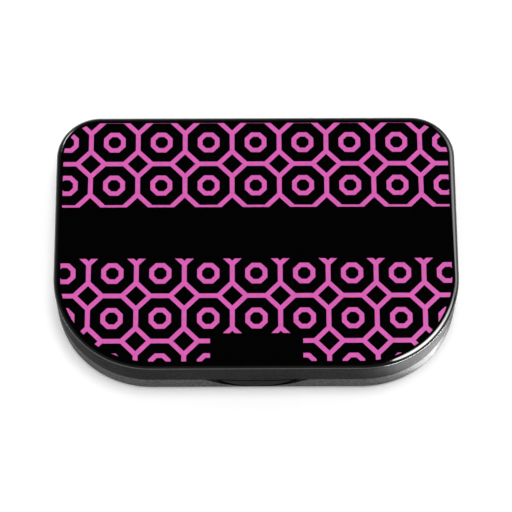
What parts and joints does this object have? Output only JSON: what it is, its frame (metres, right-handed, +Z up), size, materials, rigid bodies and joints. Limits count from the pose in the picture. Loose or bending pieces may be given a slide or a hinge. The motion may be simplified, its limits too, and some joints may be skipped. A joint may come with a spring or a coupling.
{
  "type": "false eyelash case",
  "caption": "Flat hinged compact case for a pair of false eyelashes, with a mirror in the lid and a tray of wells in the base.",
  "frame": {"origin": "middle of the flat underside of the closed case, below the middle of its width and of its depth without the hinge", "axes": "+Z up out of the cover, +X to the right, -Y towards the thumb dip at the front, +Y towards the hinge"},
  "size_m": [0.11, 0.0776, 0.0168],
  "materials": {
    "base_satin": "satin moulded plastic with a fine grain",
    "lid_satin": "satin moulded plastic with a fine grain",
    "cover_gloss": "high gloss black",
    "print_ink": "printed magenta ink",
    "tape": "double-sided foam tape",
    "mirror_silver": "silvered glass",
    "bezel_gloss": "gloss black",
    "tray_satin": "satin moulded plastic",
    "rest_silicone": "soft silicone",
    "pin_steel": "ground steel",
    "magnet_nickel": "nickel plating"
  },
  "bodies": {
    "base": {"base_shell": "base_satin", "lash_tray": "tray_satin", "tray_adhesive": "tape", "lash_rest_left": "rest_silicone", "lash_rest_right": "rest_silicone", "hinge_pin_left": "pin_steel", "hinge_pin_right": "pin_steel", "base_magnet_left": "magnet_nickel", "base_magnet_right": "magnet_nickel"},
    "lid": {"lid_shell": "lid_satin", "cover_plate": "cover_gloss", "cover_print": "print_ink", "cover_adhesive": "tape", "mirror_glass": "mirror_silver", "mirror_adhesive": "tape", "mirror_bezel": "bezel_gloss", "lid_magnet_left": "magnet_nickel", "lid_magnet_right": "magnet_nickel"}
  },
  "joints": [
    {"name": "lid_hinge", "type": "hinge", "parent": "base", "child": "lid", "pos_m": [0, 0.038, 0.0072], "axis": [-1, 0, 0], "range_deg": [0, 120]}
  ]
}
